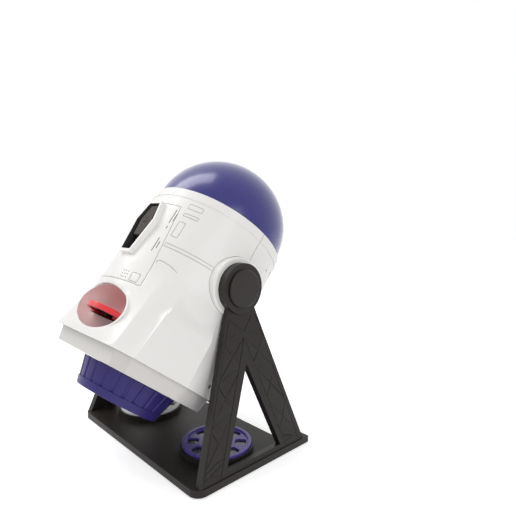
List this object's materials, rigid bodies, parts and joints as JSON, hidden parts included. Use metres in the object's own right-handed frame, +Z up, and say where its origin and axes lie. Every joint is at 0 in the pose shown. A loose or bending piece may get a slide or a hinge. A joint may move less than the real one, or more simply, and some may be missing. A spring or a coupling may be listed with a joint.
{
  "type": "planetarium projector",
  "caption": "Tilting star projector: a domed case with picture lens and slide disc, pivoting between two legged uprights on a flat base that stores spare discs.",
  "frame": {"origin": "on the table under the middle of the tilt pivot", "axes": "+X along the pivot to the object's left-hand upright as it faces you, -Y the front where the lens and switch are, +Z up"},
  "size_m": [0.184, 0.1962, 0.2513],
  "materials": {
    "black_plastic": "fine satin mould texture",
    "white_plastic": "satin",
    "steel": "zinc plated",
    "foot_rubber": "matt",
    "blue_dome": "glossy tinted clear plastic",
    "dark_mask": "matt",
    "inner_black": "matt",
    "board_green": "lacquered board",
    "lamp_clear": "clear",
    "slider_grey": "satin",
    "cell_jacket": "plain wrapped",
    "lens_glass": "polished",
    "violet_ring": "satin",
    "red_plastic": "satin",
    "blue_plastic": "satin",
    "pale_plastic": "satin",
    "hub_plastic": "satin",
    "film_dark": "glossy film"
  },
  "bodies": {
    "stand": {"base_tray": "black_plastic", "upright_right": "black_plastic", "upright_left": "black_plastic", "pivot_cap_right": "black_plastic", "pivot_cap_left": "black_plastic", "stand_screws": "steel", "rubber_feet": "foot_rubber"},
    "projector": {"front_shell": "white_plastic", "rear_shell": "white_plastic", "case_screws": "steel", "pivot_boss_right": "white_plastic", "pivot_boss_left": "white_plastic", "pivot_washer_right": "steel", "pivot_washer_left": "steel", "pivot_screw_right": "steel", "pivot_screw_left": "steel", "star_dome": "blue_dome", "star_mask": "dark_mask", "lamp_deck": "inner_black", "star_board": "board_green", "star_lamp": "lamp_clear", "power_switch": "inner_black", "batteries": "cell_jacket", "battery_tray": "inner_black", "battery_contacts": "steel", "disc_guide": "inner_black", "lamp_tube": "inner_black", "condenser_lens": "lens_glass", "picture_board": "board_green", "picture_lamp": "lamp_clear", "nose_skirt": "white_plastic", "lens_barrel": "inner_black"},
    "switch_slider": {"switch_slider": "slider_grey"},
    "battery_door": {"battery_door": "white_plastic", "door_screw": "steel"},
    "disc_hub": {"red_disc_hub": "hub_plastic"},
    "red_disc": {"red_disc": "red_plastic", "red_disc_films": "film_dark"},
    "focus_ring": {"focus_ring": "violet_ring"},
    "lens_carrier": {"lens_carrier": "inner_black", "objective_lens": "lens_glass"},
    "blue_disc": {"blue_disc": "blue_plastic", "blue_disc_films": "film_dark", "blue_disc_hub": "hub_plastic"},
    "white_disc": {"white_disc": "pale_plastic", "white_disc_films": "film_dark", "white_disc_hub": "hub_plastic"}
  },
  "joints": [
    {"name": "projector_tilt", "type": "hinge", "parent": "stand", "child": "projector", "pos_m": [0, 0, 0.1426], "axis": [-1, 0, 0], "continuous": true},
    {"name": "power_switch_slide", "type": "slide", "parent": "projector", "child": "switch_slider", "axis": [0, 0.5962, 0.8028], "range_m": [-0.009, 0]},
    {"name": "disc_insert", "type": "slide", "parent": "projector", "child": "disc_hub", "axis": [0, -0.8028, 0.5962], "range_m": [-0.0164, 0.048]},
    {"name": "disc_turn", "type": "hinge", "parent": "disc_hub", "child": "red_disc", "pos_m": [0, -0.06677, 0.11409], "axis": [0, 0.5962, 0.8028], "continuous": true},
    {"name": "focus_turn", "type": "hinge", "parent": "projector", "child": "focus_ring", "pos_m": [0, -0.05994, 0.06256], "axis": [0, 0.5962, 0.8028], "range_deg": [-90, 90]},
    {"name": "lens_focus", "type": "slide", "parent": "projector", "child": "lens_carrier", "axis": [0, 0.5962, 0.8028], "range_m": [-0.003, 0.003]},
    {"name": "battery_door_lift", "type": "slide", "parent": "projector", "child": "battery_door", "axis": [0, 0.8028, -0.5962], "range_m": [0, 0.02]},
    {"name": "blue_disc_lift", "type": "slide", "parent": "stand", "child": "blue_disc", "axis": [0, 0, 1], "range_m": [0, 0.005]},
    {"name": "white_disc_lift", "type": "slide", "parent": "stand", "child": "white_disc", "axis": [0, 0, 1], "range_m": [0, 0.005]}
  ],
  "couplings": [
    {"joint": "lens_focus", "follows": "focus_turn", "m_per_rad": 0.0017825}
  ]
}
